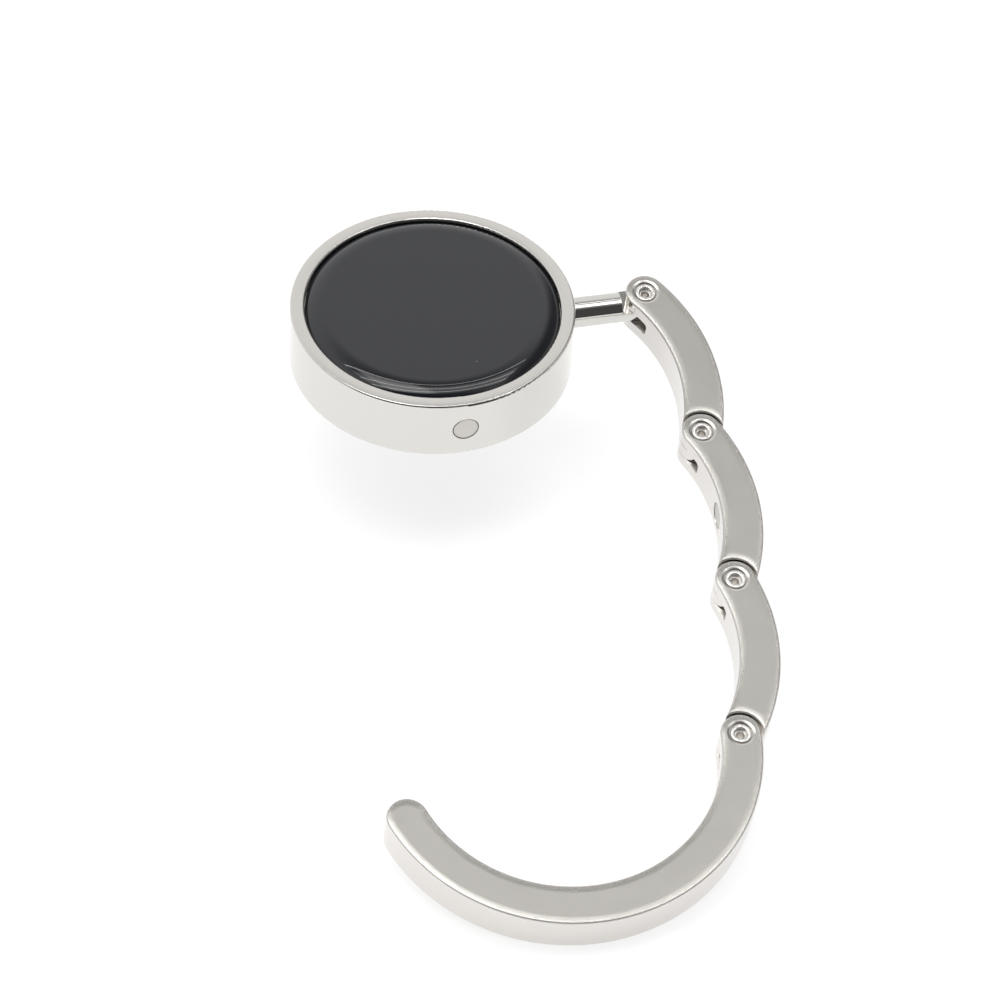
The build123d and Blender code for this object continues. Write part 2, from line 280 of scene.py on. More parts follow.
# %% Helpers for finishes
NOISE_MIDDLE = 0.5
MIX_COLOURS_IN = (6, 7)
MIX_COLOUR_OUT = 2


def new_finish(name):
    """An empty material and its tree."""
    finish = bpy.data.materials.new(name)
    finish.use_nodes = True
    finish.node_tree.nodes.clear()
    return finish, Tree(finish.node_tree)


def noise(tree, place, millimetres, detail=2.0):
    """Noise between 0 and 1, whose blotches are about as large as the size given."""
    sizes = {"Vector": place, "Scale": 1 / (millimetres * MM), "Detail": detail}
    return tree.node("ShaderNodeTexNoise", inputs=sizes, output="Fac")


def bump(tree, millimetres):
    """The normal of a surface with this height on it."""
    sizes = {"Height": millimetres, "Distance": MM, "Strength": 1.0}
    return tree.node("ShaderNodeBump", inputs=sizes)


def blend(tree, share, first, second):
    """A colour between two. Each is red, green and blue, or a blend itself."""
    ends = [colour if isinstance(colour, Flow) else (*colour, 1) for colour in (first, second)]
    sockets = {"Factor": share, **dict(zip(MIX_COLOURS_IN, ends))}
    return tree.node("ShaderNodeMix", {"data_type": "RGBA"}, sockets, MIX_COLOUR_OUT)


def close_finish(tree, sockets):
    """Give the finish its shader, with these sockets."""
    surface = tree.node("ShaderNodeBsdfPrincipled", inputs=sockets)
    tree.node("ShaderNodeOutputMaterial", inputs={"Surface": surface})


def object_place(tree):
    """Where a point of the surface is, in the frame that all pieces share."""
    return tree.node("ShaderNodeTexCoord", output="Object")


def object_normal(tree):
    """Which way the surface faces there."""
    return tree.node("ShaderNodeTexCoord", output="Normal")


def distance_from_axis(place, spot, axis):
    """How far a place is from the axis through a spot, in metres."""
    step = place.minus(spot)
    return (step.length() ** 2 - step.dot(axis) ** 2) ** 0.5


def distance_from_head_axis(place):
    """The same for the head's own axis, which is upright through the origin."""
    return (place.part("X") ** 2 + place.part("Y") ** 2) ** 0.5


# %% [markdown]
# Satin nickel
#
# The links and the hook are cast, tumbled and plated. Their flat faces are satin, their sides
# are brighter, their corners are scuffed, and the dish round each rivet is bright. The dish is
# told by its distance from the pin, and the rest by how squarely a point faces along the pins.
#
# Tumbling also rolls the flat faces off over the last millimetre before an edge, by a sixth of
# a millimetre. That is too little to model and enough to see, because a face that turns by ten
# degrees mirrors another part of the room. So the finish needs to know how near an edge is. The
# edges run beside the bow's circle, round the ear's pin, round the hook's tip and round the next
# piece's ear, and a distance to each of these says it.
#
# Over this lie a slow cloud and a fine grain of the plate, and hairlines of wear, some one way
# and some another. A hairline is where a noise, drawn out a long way in one direction, passes
# through its middle value. The rolled edges wear back to bright metal.

# %% Satin nickel: what the eye reads first
SATIN_COLOUR = (0.418, 0.407, 0.376)
BRIGHT_COLOUR = (0.780, 0.752, 0.722)
SATIN_ROUGHNESS = 0.33
ROLLED_ROUGHNESS = 0.24
SIDE_ROUGHNESS = 0.16
CORNER_ROUGHNESS = 0.55
DISH_ROUGHNESS = 0.18
FLAT_FACING = (0.90, 0.995)
SIDE_FACING = (0.02, 0.20)
DISH_RADII = (2.4, 2.64)
ROLL_WIDTH = 1.2
ROLL_DEPTH = 0.16
ROLL_POWER = 1.5
ROUND_END_BLUR = 0.05

# %% Satin nickel: cloud, grain, hairlines and wear
CLOUD_SIZE = 5.0
CLOUD_ROUGHNESS = 0.10
SIDE_CLOUD_HEIGHT = 0.004
GRAIN_SIZE = 0.22
GRAIN_ROUGHNESS = 0.10
GRAIN_HEIGHT = 0.0016
HAIRLINES = ((0.5, 0.0), (-0.9, 0.3))
HAIRLINE_SCALE = (90, 2600, 90)
HAIRLINE_WIDTH = (0.001, 0.006)
HAIRLINE_DEPTH = 0.0012
SATIN_SHARE = 0.85
CLOUDED_SATIN_SHARE = 0.15
EDGE_WEAR_SHARE = 0.6


def hairlines(tree, place, turn, seed):
    """A few hairlines that run one way, 1 on the line and 0 beside it."""
    laid = tree.node(
        "ShaderNodeMapping",
        inputs={
            "Vector": place,
            "Location": (seed, seed, seed),
            "Rotation": (0, 0, turn),
            "Scale": HAIRLINE_SCALE,
        },
    )
    streaks = tree.node("ShaderNodeTexNoise", inputs={"Vector": laid, "Scale": 1.0, "Detail": 0.0})
    return 1 - (streaks - NOISE_MIDDLE).size().between(*HAIRLINE_WIDTH)


def edge_nearness(place, bow):
    """1 at the edge of a bowed piece's flat face, 0 where the face starts to roll."""
    off = (distance_from_axis(place, bow["centre"], PIN_AXIS) - bow["radius"]).size()
    for spot, outwards in bow["round_ends"]:
        beyond = place.minus(spot).dot(outwards).between(0, ROUND_END_BLUR * MM)
        off = off.at_least(distance_from_axis(place, spot, PIN_AXIS) * beyond)
    half_width = bow["half_width"]
    nearness = off.share(half_width - ROLL_WIDTH * MM, half_width)
    if bow["hollow"]:
        spot, hollow_radius = bow["hollow"]
        gap = distance_from_axis(place, spot, PIN_AXIS)
        nearness = nearness.at_least(
            1 - gap.share(hollow_radius, hollow_radius + ROLL_WIDTH * MM)
        )
    return nearness


def satin_nickel(name, bow):
    """Satin faces that roll off to bright edges, on a piece with this bow."""
    finish, tree = new_finish(name)
    place = object_place(tree)
    facing = object_normal(tree).dot(PIN_AXIS).size()
    flat = facing.between(*FLAT_FACING)
    side = 1 - facing.between(*SIDE_FACING)
    edge = edge_nearness(place, bow)
    rolled = edge ** ROLL_POWER * -ROLL_DEPTH
    pin, _ = bow["round_ends"][0]
    outside_dish = distance_from_axis(place, pin, PIN_AXIS).between(
        *(radius * MM for radius in DISH_RADII)
    )
    corner = DISH_ROUGHNESS + outside_dish * (CORNER_ROUGHNESS - DISH_ROUGHNESS)

    cloud = noise(tree, place, CLOUD_SIZE)
    grain = noise(tree, place, GRAIN_SIZE, detail=3.0)
    one_way, another = [hairlines(tree, place, turn, seed) for turn, seed in HAIRLINES]
    lines = one_way + another
    satin = SATIN_ROUGHNESS + edge * (ROLLED_ROUGHNESS - SATIN_ROUGHNESS)
    roughness = corner + flat * (satin - corner)
    roughness = roughness + side * (SIDE_ROUGHNESS - roughness)
    roughness = roughness + (cloud - NOISE_MIDDLE) * CLOUD_ROUGHNESS
    roughness = roughness + (grain - NOISE_MIDDLE) * flat * GRAIN_ROUGHNESS
    height = rolled + grain * flat * GRAIN_HEIGHT - lines * HAIRLINE_DEPTH
    height = height + cloud * side * SIDE_CLOUD_HEIGHT
    dull = flat * (SATIN_SHARE + cloud * CLOUDED_SATIN_SHARE)
    worn = 1 - dull * (1 - edge * edge * EDGE_WEAR_SHARE)
    close_finish(tree, {
        "Base Color": blend(tree, worn, SATIN_COLOUR, BRIGHT_COLOUR),
        "Metallic": 1.0,
        "Roughness": roughness,
        "Normal": bump(tree, height),
    })
    return finish


# %% [markdown]
# Polished nickel
#
# The head's wall and the stem are mirrors. A plated casting is never quite flat, and waves of a
# thousandth of a millimetre or two make its reflections swim a little, which is what the eye
# takes for metal. The bezel on top of the head is satin, turned on a lathe: its fine rings come
# from noise that depends on the distance from the head's axis alone. Buffing has crowned it by a
# twelfth of a millimetre, so its inner and outer halves mirror different parts of the room.
# Handling leaves faint smears, which are rougher patches with no height.

# %% Polished nickel
POLISHED_COLOUR = (0.710, 0.695, 0.665)
BEZEL_COLOUR = (0.695, 0.674, 0.638)
BEZEL_ROUGHNESS = 0.20
BEZEL_CROWN = 0.085
BEZEL_FACING = (0.80, 0.97)
BEZEL_RING_SIZE = 0.35
BEZEL_RING_ROUGHNESS = 0.06
BEZEL_RING_HEIGHT = 0.0006
MIRROR_ROUGHNESS = 0.05
WAVE_SIZE = 7.0
WAVE_HEIGHT = 0.0015
SMEAR_SIZE = 2.5
SMEAR_LEVELS = (0.45, 0.8)
SMEAR_ROUGHNESS = 0.05


def polished_nickel(name, inner_radius, outer_radius, satin_top):
    """A mirror with slow waves. If satin_top is 1, what faces up is a satin, crowned ring."""
    finish, tree = new_finish(name)
    place = object_place(tree)
    top = object_normal(tree).part("Z").between(*BEZEL_FACING) * satin_top
    out = distance_from_head_axis(place)
    rings = noise(tree, tree.vector(out, 0, 0), BEZEL_RING_SIZE)
    waves = noise(tree, place, WAVE_SIZE, detail=1.0)
    smears = noise(tree, place, SMEAR_SIZE, detail=3.0)
    roughness = MIRROR_ROUGHNESS + top * (BEZEL_ROUGHNESS - MIRROR_ROUGHNESS)
    roughness = roughness + smears.between(*SMEAR_LEVELS) * SMEAR_ROUGHNESS
    roughness = roughness + (rings - NOISE_MIDDLE) * top * BEZEL_RING_ROUGHNESS
    half_ring = (outer_radius - inner_radius) / 2
    off_ring = (out - (inner_radius + outer_radius) / 2) / half_ring
    crown = off_ring ** 2 * (-BEZEL_CROWN * satin_top)
    height = waves * WAVE_HEIGHT + rings * top * BEZEL_RING_HEIGHT + crown
    close_finish(tree, {
        "Base Color": blend(tree, top, POLISHED_COLOUR, BEZEL_COLOUR),
        "Metallic": 1.0,
        "Roughness": roughness,
        "Normal": bump(tree, height),
    })
    return finish


# %% [markdown]
# Small plated parts
#
# Rivets are set with a rolling tool and come out bright and a little dented. The magnets are
# plated straight on their pressed grain, so they are duller and slightly warm, and darker
# towards the rim. Steel and brass are turned and stay inside the head.

# %% Rivet
RIVET_COLOUR = (0.930, 0.910, 0.880)
RIVET_ROUGHNESS = 0.18
DENT_SIZE = 0.6
DENT_ROUGHNESS = 0.12
DENT_HEIGHT = 0.020


def rivet_nickel():
    """Bright metal, a little uneven from the rolling tool."""
    finish, tree = new_finish("rivet_nickel")
    dents = noise(tree, object_place(tree), DENT_SIZE)
    close_finish(tree, {
        "Base Color": blend(tree, dents, RIVET_COLOUR, BRIGHT_COLOUR),
        "Metallic": 1.0,
        "Roughness": RIVET_ROUGHNESS + dents * DENT_ROUGHNESS,
        "Normal": bump(tree, dents * DENT_HEIGHT),
    })
    return finish


# %% Magnet
MAGNET_COLOUR = (0.620, 0.600, 0.565)
MAGNET_RIM_COLOUR = (0.330, 0.300, 0.260)
MAGNET_ROUGHNESS = 0.30
RIM_ROUGHNESS = 0.2
RIM_RADIUS_SHARES = (0.90, 1.0)
RIM_RAGGED_SHARE = 0.12
BLOTCH_SIZE = 1.5
BLOTCH_ROUGHNESS = 0.12
PRESSED_GRAIN_SIZE = 0.18
PRESSED_GRAIN_HEIGHT = 0.004


def magnet_nickel(name, centre, axis, radius):
    """Dull plate with pressed grain, darker towards the rim."""
    finish, tree = new_finish(name)
    place = object_place(tree)
    out = distance_from_axis(place, centre, axis) / radius
    grain = noise(tree, place, PRESSED_GRAIN_SIZE, detail=3.0)
    blotch = noise(tree, place, BLOTCH_SIZE)
    # Darker and rougher towards the rim, in a ragged ring.
    ragged = out + (blotch - NOISE_MIDDLE) * RIM_RAGGED_SHARE
    darker_rim = ragged.between(*RIM_RADIUS_SHARES)
    close_finish(tree, {
        "Base Color": blend(tree, darker_rim, MAGNET_COLOUR, MAGNET_RIM_COLOUR),
        "Metallic": 1.0,
        "Roughness": MAGNET_ROUGHNESS + blotch * BLOTCH_ROUGHNESS + darker_rim * RIM_ROUGHNESS,
        "Normal": bump(tree, grain * PRESSED_GRAIN_HEIGHT),
    })
    return finish


# %% Steel and brass
STEEL_COLOUR = (0.560, 0.560, 0.570)
STEEL_ROUGHNESS = 0.35
STEEL_RING_SIZE = 0.25
BRASS_COLOUR = (0.780, 0.620, 0.330)
BRASS_ROUGHNESS = 0.30
BRASS_RING_SIZE = 0.20
TURNED_RING_ROUGHNESS = 0.2
TURNED_RING_HEIGHT = 0.003
TARNISH_SIZE = 4.0
TARNISHED_SHARE = 0.8


def turned_metal(name, colour, ring_size, roughness):
    """Plain turned metal, its rings about the head's axis, a little tarnished."""
    finish, tree = new_finish(name)
    place = object_place(tree)
    out = distance_from_head_axis(place)
    rings = noise(tree, tree.vector(out, 0, 0), ring_size, detail=3.0)
    tarnish = noise(tree, place, TARNISH_SIZE)
    darker = [part * TARNISHED_SHARE for part in colour]
    close_finish(tree, {
        "Base Color": blend(tree, tarnish, colour, darker),
        "Metallic": 1.0,
        "Roughness": roughness + (rings - NOISE_MIDDLE) * TURNED_RING_ROUGHNESS,
        "Normal": bump(tree, rings * TURNED_RING_HEIGHT),
    })
    return finish


# %% [markdown]
# Black inlay, clear resin and rubber
#
# The black disc is printed plate under clear resin. What shows is black with a gloss on it, so
# the resin is drawn as black gloss. A clear shader would look the same after many more samples:
# of twenty rays, nineteen would go in and find black, and one would bring the gloss. A few specks
# of dust were caught in the resin: a speck lies at the middle of a random cell, in some patches
# of the disc only. The rubber is matt with a fine moulded grain and some dust.

# %% Black inlay
INLAY_COLOUR = (0.007, 0.008, 0.011)
INLAY_WORN_COLOUR = (0.022, 0.022, 0.023)
INLAY_ROUGHNESS = 0.50
INLAY_MOTTLE_SIZE = 5.0
INLAY_MOTTLE_ROUGHNESS = 0.1


def black_inlay():
    """Flat black print, a little uneven."""
    finish, tree = new_finish("black_inlay")
    mottle = noise(tree, object_place(tree), INLAY_MOTTLE_SIZE, detail=1.0)
    close_finish(tree, {
        "Base Color": blend(tree, mottle, INLAY_COLOUR, INLAY_WORN_COLOUR),
        "Roughness": INLAY_ROUGHNESS + mottle * INLAY_MOTTLE_ROUGHNESS,
    })
    return finish


# %% Resin over black
RESIN_LIGHTER = (0.013, 0.014, 0.018)
RESIN_ROUGHNESS = 0.03
RESIN_IOR = 1.60
RESIN_MOTTLE_SIZE = 0.30
HAZE_SIZE = 9.0
HAZE_ROUGHNESS = 0.03
SPECK_COLOUR = (0.500, 0.490, 0.470)
SPECK_SPACING = 2.4
SPECK_RADIUS_SHARES = (0.018, 0.034)
SPECK_PATCH_SIZE = 6.0
SPECK_PATCH_LEVELS = (0.55, 0.62)


def resin_over_black():
    """Cast resin with black under it: a smooth gloss, and a few specks of dust."""
    finish, tree = new_finish("resin_over_black")
    place = object_place(tree)
    mottle = noise(tree, place, RESIN_MOTTLE_SIZE)
    haze = noise(tree, place, HAZE_SIZE, detail=1.0)
    cells = {"Vector": place, "Scale": 1 / (SPECK_SPACING * MM), "Randomness": 1.0}
    nearest = tree.node("ShaderNodeTexVoronoi", inputs=cells, output="Distance")
    chosen = noise(tree, place, SPECK_PATCH_SIZE).between(*SPECK_PATCH_LEVELS)
    specks = (1 - nearest.between(*SPECK_RADIUS_SHARES)) * chosen
    black = blend(tree, mottle, INLAY_COLOUR, RESIN_LIGHTER)
    close_finish(tree, {
        "Base Color": blend(tree, specks, black, SPECK_COLOUR),
        "Roughness": RESIN_ROUGHNESS + haze * HAZE_ROUGHNESS,
        "IOR": RESIN_IOR,
    })
    return finish


# %% Black rubber
RUBBER_COLOUR = (0.022, 0.022, 0.023)
RUBBER_DUST = (0.085, 0.083, 0.080)
RUBBER_ROUGHNESS = 0.70
MOULD_GRAIN_SIZE = 0.30
MOULD_GRAIN_ROUGHNESS = 0.2
MOULD_GRAIN_HEIGHT = 0.02
DUST_PATCH_SIZE = 6.0
DUST_LEVELS = (0.48, 0.75)


def black_rubber():
    """Matt moulded rubber with some dust in its grain."""
    finish, tree = new_finish("black_rubber")
    place = object_place(tree)
    grain = noise(tree, place, MOULD_GRAIN_SIZE, detail=4.0)
    patches = noise(tree, place, DUST_PATCH_SIZE, detail=3.0)
    dust = ((grain + patches) / 2).between(*DUST_LEVELS)
    close_finish(tree, {
        "Base Color": blend(tree, dust, RUBBER_COLOUR, RUBBER_DUST),
        "Roughness": RUBBER_ROUGHNESS + grain * MOULD_GRAIN_ROUGHNESS,
        "Normal": bump(tree, grain * MOULD_GRAIN_HEIGHT),
    })
    return finish


# %% [markdown]
# Dressing the construction model
#
# A link's finish needs its bow. The bow isn't in the frame, but it follows from what is: the
# ear's radius is how far the link reaches behind its pin, and the sagitta is how far its outer
# side stands out from the line between its pins. The hook's bow follows from its own pin and
# from the deepest point of its seat, which the record gives as a mount, and its tip is where
# its mesh reaches furthest round that bow. Turns round the bow are counted onward from the pin,
# and what lies past three quarters of a turn is the ear behind the pin. A link's hollow end is
# measured in its mesh too.

# %% Helpers: the bow of a link or of the hook
ABOVE_TONGUE_SHARE = 0.6
EAR_STARTS = 1.5 * pi


def ear_end(pin, centre):
    """The pin of an ear, and the direction that leaves the piece there."""
    return pin, (pin - centre).cross(PIN_AXIS).normalized() * -1


def hollow_end(node, pin):
    """The next pin, and the radius of the hollow about it, well above the tongue."""
    along, out = round_sizes(node, pin, PIN_AXIS)
    above = max(along) * ABOVE_TONGUE_SHARE
    return pin, min(reach for height, reach in zip(along, out) if height > above)


def link_bow(node, near_pin, far_pin):
    """The circle that a link's middle line follows, half its width, and its two ends."""
    chord = far_pin - near_pin
    along = chord.normalized()
    outward = PIN_AXIS.cross(along)
    steps = [vertex.co - near_pin for vertex in nodes[node].data.vertices]
    half_width = -min(step.dot(along) for step in steps)
    sagitta = max(step.dot(outward) for step in steps) - half_width
    half_chord = chord.length / 2
    radius = (half_chord ** 2 + sagitta ** 2) / (2 * sagitta)
    centre = near_pin + chord / 2 + outward * (sagitta - radius)
    return {
        "centre": centre,
        "radius": radius,
        "half_width": half_width,
        "round_ends": [ear_end(near_pin, centre)],
        "hollow": hollow_end(node, far_pin),
    }


def hook_bow(pin, half_width):
    """The same for the hook, from its pin, the deepest point of its seat, and its mesh."""
    mounts = {mount["name"]: mount for mount in frame["record"]["mounts"]}
    seat = Vector(mounts["hook_seat"]["pos_m"])
    inward = Vector(mounts["hook_seat"]["axis"])
    step = pin - seat
    inner = (step.length_squared - half_width ** 2) / (2 * (step.dot(inward) + half_width))
    centre = seat + inward * inner
    radius = inner + half_width
    to_pin = (pin - centre).normalized()
    onward = to_pin.cross(PIN_AXIS)
    steps = [vertex.co - centre for vertex in nodes["hook"].data.vertices]
    turns = [atan2(step.dot(onward), step.dot(to_pin)) % (2 * pi) for step in steps]
    furthest = max(turn for turn in turns if turn < EAR_STARTS)
    sweep = furthest - asin(half_width / radius)
    tip = centre + (to_pin * cos(sweep) + onward * sin(sweep)) * radius
    leaving = onward * cos(sweep) - to_pin * sin(sweep)
    print("hook sweep in degrees", round(degrees(sweep), 2))
    return {
        "centre": centre,
        "radius": radius,
        "half_width": half_width,
        "round_ends": [ear_end(pin, centre), (tip, leaving)],
        "hollow": None,
    }


pins = [Vector(joints[f"hinge_{number}"]["pos_m"]) for number in (1, 2, 3, 4)]
bows = {f"link_{i + 1}": link_bow(f"link_{i + 1}", pins[i], pins[i + 1]) for i in range(3)}
bows["hook"] = hook_bow(pins[3], bows["link_1"]["half_width"])
for piece, bow in bows.items():
    sizes = [round(bow[size] / MM, 2) for size in ("radius", "half_width")]
    print(piece, "bow radius and half width", sizes)
    if bow["hollow"]:
        print("  hollow end radius", round(bow["hollow"][1] / MM, 2))


# %% Materials on the nodes of the construction model
def dress(node, finish):
    """Put a finish on every slot of a node."""
    mesh = nodes[node].data
    for slot in range(len(mesh.materials)):
        mesh.materials[slot] = finish
    if not mesh.materials:
        mesh.materials.append(finish)
    print(node, "is dressed in", finish.name)


for piece, bow in bows.items():
    dress(piece, satin_nickel(f"satin_nickel_{piece}", bow))
bezel_radii = (max(round_sizes("inlay_plate", ORIGIN, UP)[1]), housing_high.x)
dress("head_housing", polished_nickel("polished_nickel_head", *bezel_radii, satin_top=1))
dress("stem", polished_nickel("polished_nickel_stem", *bezel_radii, satin_top=0))

rim_middle = middle_of("rim_magnet")
rim_axis = Vector((rim_middle.x, rim_middle.y, 0)).normalized()
link_middle = middle_of("link_magnet")
link_axis = (link_middle - bows["link_2"]["centre"]).normalized()
for magnet, middle, axis in (
    ("rim_magnet", rim_middle, rim_axis),
    ("link_magnet", link_middle, link_axis),
):
    magnet_radius = max(round_sizes(magnet, middle, axis)[1])
    dress(magnet, magnet_nickel(f"magnet_nickel_{magnet}", middle, axis, magnet_radius))
    print(magnet, "radius", round(magnet_radius / MM, 3))

rubber = black_rubber()
steel = turned_metal("steel", STEEL_COLOUR, STEEL_RING_SIZE, STEEL_ROUGHNESS)
brass = turned_metal("brass", BRASS_COLOUR, BRASS_RING_SIZE, BRASS_ROUGHNESS)
dress("inlay_plate", black_inlay())
dress("grip_pad", rubber)
dress("friction_ring", rubber)
dress("base_cover", steel)
dress("cover_screws", steel)
dress("stem_washer", steel)
dress("stem_slider", brass)

# %% [markdown]
# Shapes that follow a rule
#
# The resin dome and the rivets are grown by Geometry Nodes. A tree here has its sizes as named
# inputs, so one tree serves every rivet. A helper opens such a tree, and another runs it once,
# with the sizes given, and keeps the result as a plain mesh with nothing left on it. It shades
# smooth, except over an edge that turns by more than the sharp angle.

# %% Helpers: open a geometry tree and run it
SHARP_ANGLE = radians(60)


def new_shape(name, floats, vectors=()):
    """A geometry tree with named inputs, and the inputs' flows by name."""
    group = bpy.data.node_groups.new(name, "GeometryNodeTree")
    group.interface.new_socket(
        name="Geometry", in_out="OUTPUT", socket_type="NodeSocketGeometry"
    )
    for label in floats:
        group.interface.new_socket(name=label, in_out="INPUT", socket_type="NodeSocketFloat")
    for label in vectors:
        group.interface.new_socket(name=label, in_out="INPUT", socket_type="NodeSocketVector")
    tree = Tree(group)
    entry = group.nodes.new("NodeGroupInput")
    flows = {label: Flow(tree, entry.outputs[label]) for label in (*floats, *vectors)}
    return group, tree, flows


def close_shape(tree, geometry, finish):
    """End a geometry tree: real mesh, smooth, with its finish."""
    real = tree.node("GeometryNodeRealizeInstances", inputs={"Geometry": geometry})
    smooth = tree.node("GeometryNodeSetShadeSmooth", inputs={"Geometry": real})
    dressed = tree.node(
        "GeometryNodeSetMaterial", inputs={"Geometry": smooth, "Material": finish}
    )
    tree.node("NodeGroupOutput", inputs={"Geometry": dressed})


def grow(name, group, sizes):
    """Run a geometry tree with these sizes and keep what it makes as a plain mesh."""
    piece = bpy.data.objects.new(name, bpy.data.meshes.new(name))
    bpy.context.scene.collection.objects.link(piece)
    modifier = piece.modifiers.new("shape", "NODES")
    modifier.node_group = group
    for item in group.interface.items_tree:
        if item.in_out == "INPUT":
            modifier[item.identifier] = sizes[item.name]
    graph = bpy.context.evaluated_depsgraph_get()
    mesh = bpy.data.meshes.new_from_object(
        piece.evaluated_get(graph), preserve_all_data_layers=True, depsgraph=graph
    )
    piece.modifiers.remove(modifier)
    piece.data = mesh
    mesh.name = name
    mesh.set_sharp_from_angle(angle=SHARP_ANGLE)
    low = [min(vertex.co[i] for vertex in mesh.vertices) / MM for i in range(3)]
    high = [max(vertex.co[i] for vertex in mesh.vertices) / MM for i in range(3)]
    print(name, len(mesh.polygons), "faces, mm", [round(v, 2) for v in low + high])
    return piece


# %% [markdown]
# The dome
#
# Clear resin is poured on the black disc and stops at the recess's edge, where its own skin
# holds it. So it is nearly level in the middle and draws down in a rounded shoulder at the
# edge. A sphere's cap would be wrong: it would bend the room's reflection everywhere, and the
# real one bends it only near the edge. The tree lays a grid round the axis, row by row from the
# middle out, down the edge and back below, and lifts each point by the rule. Most of its rows
# lie in the shoulder, where a mirror would show every facet. Its underside goes a fiftieth of a
# millimetre into the black disc, so that their two faces don't lie in one plane. The skin isn't
# quite smooth either: a slow swell of four thousandths, with a fixed seed, bends straight
# reflections a little.

# %% Dome: rows, sizes in millimetres, and how near two points are taken as one
DOME_LEVEL_ROWS = 40
DOME_SHOULDER_ROWS = 56
DOME_EDGE_ROWS = 4
DOME_BACK_ROWS = 12
DOME_COLUMNS = 240
DOME_CROWN = 0.20
DOME_SWELL_HEIGHT = 0.004
DOME_SWELL_SIZE = 9
DOME_SEED = 7.0
DOME_SINK = 0.02
HAIR = 0.001 * MM


def dome_shape(finish):
    """The tree of a poured dome: level, with a rounded shoulder at its edge."""
    labels = ("Radius", "Level radius", "Top", "Edge", "Underside", "Crown", "Swell", "Seed")
    group, tree, size = new_shape("poured_dome", labels)
    shoulder_row = DOME_LEVEL_ROWS + DOME_SHOULDER_ROWS
    rows = shoulder_row + DOME_EDGE_ROWS + DOME_BACK_ROWS
    grid = tree.node("GeometryNodeMeshGrid", inputs={
        "Size X": 1.0,
        "Size Y": 1.0,
        "Vertices X": DOME_COLUMNS + 1,
        "Vertices Y": rows + 1,
    })
    spot = tree.node("GeometryNodeInputPosition")
    half_side = 0.5
    angle = (spot.part("X") + half_side) * (-2 * pi)
    row = (spot.part("Y") + half_side) * rows
    shoulder = size["Radius"] - size["Level radius"]
    outward = row.share(0, DOME_LEVEL_ROWS) * size["Level radius"]
    outward = outward + row.share(DOME_LEVEL_ROWS, shoulder_row) * shoulder
    down = row.share(shoulder_row, shoulder_row + DOME_EDGE_ROWS)
    back = row.share(shoulder_row + DOME_EDGE_ROWS, rows)
    radius = outward - back * size["Radius"]

    fall = size["Top"] - size["Edge"] - size["Crown"]
    bend = (shoulder ** 2 + fall ** 2) / (fall * 2)
    past = (radius - size["Level radius"]).at_least(0)
    crown = (radius / size["Radius"]) ** 2 * size["Crown"]
    skin = size["Top"] - crown - bend + (bend ** 2 - past ** 2) ** 0.5
    height = skin * (1 - down) + size["Underside"] * down

    x = angle.math("COSINE", angle) * radius
    y = angle.math("SINE", angle) * radius
    swell = tree.node("ShaderNodeTexNoise", {"noise_dimensions": "4D"}, {
        "Vector": tree.vector(x, y, 0),
        "W": size["Seed"],
        "Scale": 1 / (DOME_SWELL_SIZE * MM),
        "Detail": 1.0,
    })
    level = 1 - past / shoulder
    height = height + (swell - NOISE_MIDDLE) * size["Swell"] * level * (1 - down)
    laid = tree.node(
        "GeometryNodeSetPosition", inputs={"Geometry": grid, "Position": tree.vector(x, y, height)}
    )
    closed = tree.node(
        "GeometryNodeMergeByDistance", inputs={"Geometry": laid, "Distance": HAIR}
    )
    close_shape(tree, closed, finish)
    return group


dome_heights, dome_radii = round_sizes("epoxy_dome", ORIGIN, UP)
dome_radius = max(dome_radii)
dome_top = max(dome_heights)
dome = grow("epoxy_dome_resin", dome_shape(resin_over_black()), {
    "Radius": dome_radius,
    "Level radius": max(r for r, z in zip(dome_radii, dome_heights) if z > dome_top - HAIR),
    "Top": dome_top,
    "Edge": max(z for r, z in zip(dome_radii, dome_heights) if r > dome_radius - HAIR),
    "Underside": min(dome_heights) - DOME_SINK * MM,
    "Crown": DOME_CROWN * MM,
    "Swell": DOME_SWELL_HEIGHT * MM,
    "Seed": DOME_SEED,
})
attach(dome, "head")
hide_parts("epoxy_dome")

# %% [markdown]
# The rivets
#
# A tubular rivet is a tube with a flange rolled out at each end. Each part of it is a ring: a
# rounded section swept round the axis by Curve to Mesh. The flange is one ring, put at both
# ends by Instance on Points, and turned over rather than mirrored, so that its faces still
# point outwards. Inside the bore a step is left by the setting tool, drawn as a sleeve. Each pin
# rides on its own body, so the tree is run four times, each time with another place and another
# turn, and their facets don't all catch the light at the same spot. A rounding is a share of its
# own ring's wall.

# %% Rivets
FLANGE_RISE_SHARE = 0.145
FLANGE_ROUNDING_SHARE = 0.30
TUBE_RADIUS_SHARE = 0.785
TUBE_LENGTH_SHARE = 0.9
TUBE_ROUNDING_SHARE = 0.1
STEP_DEPTH_SHARE = 0.75
STEP_BORE_SHARE = 0.66
SLEEVE_RADIUS_SHARE = 1.02
SLEEVE_ROUNDING_SHARE = 0.35
RING_SIDES = 72
CORNER_POINTS = 5
PIN_TURN = 0.7


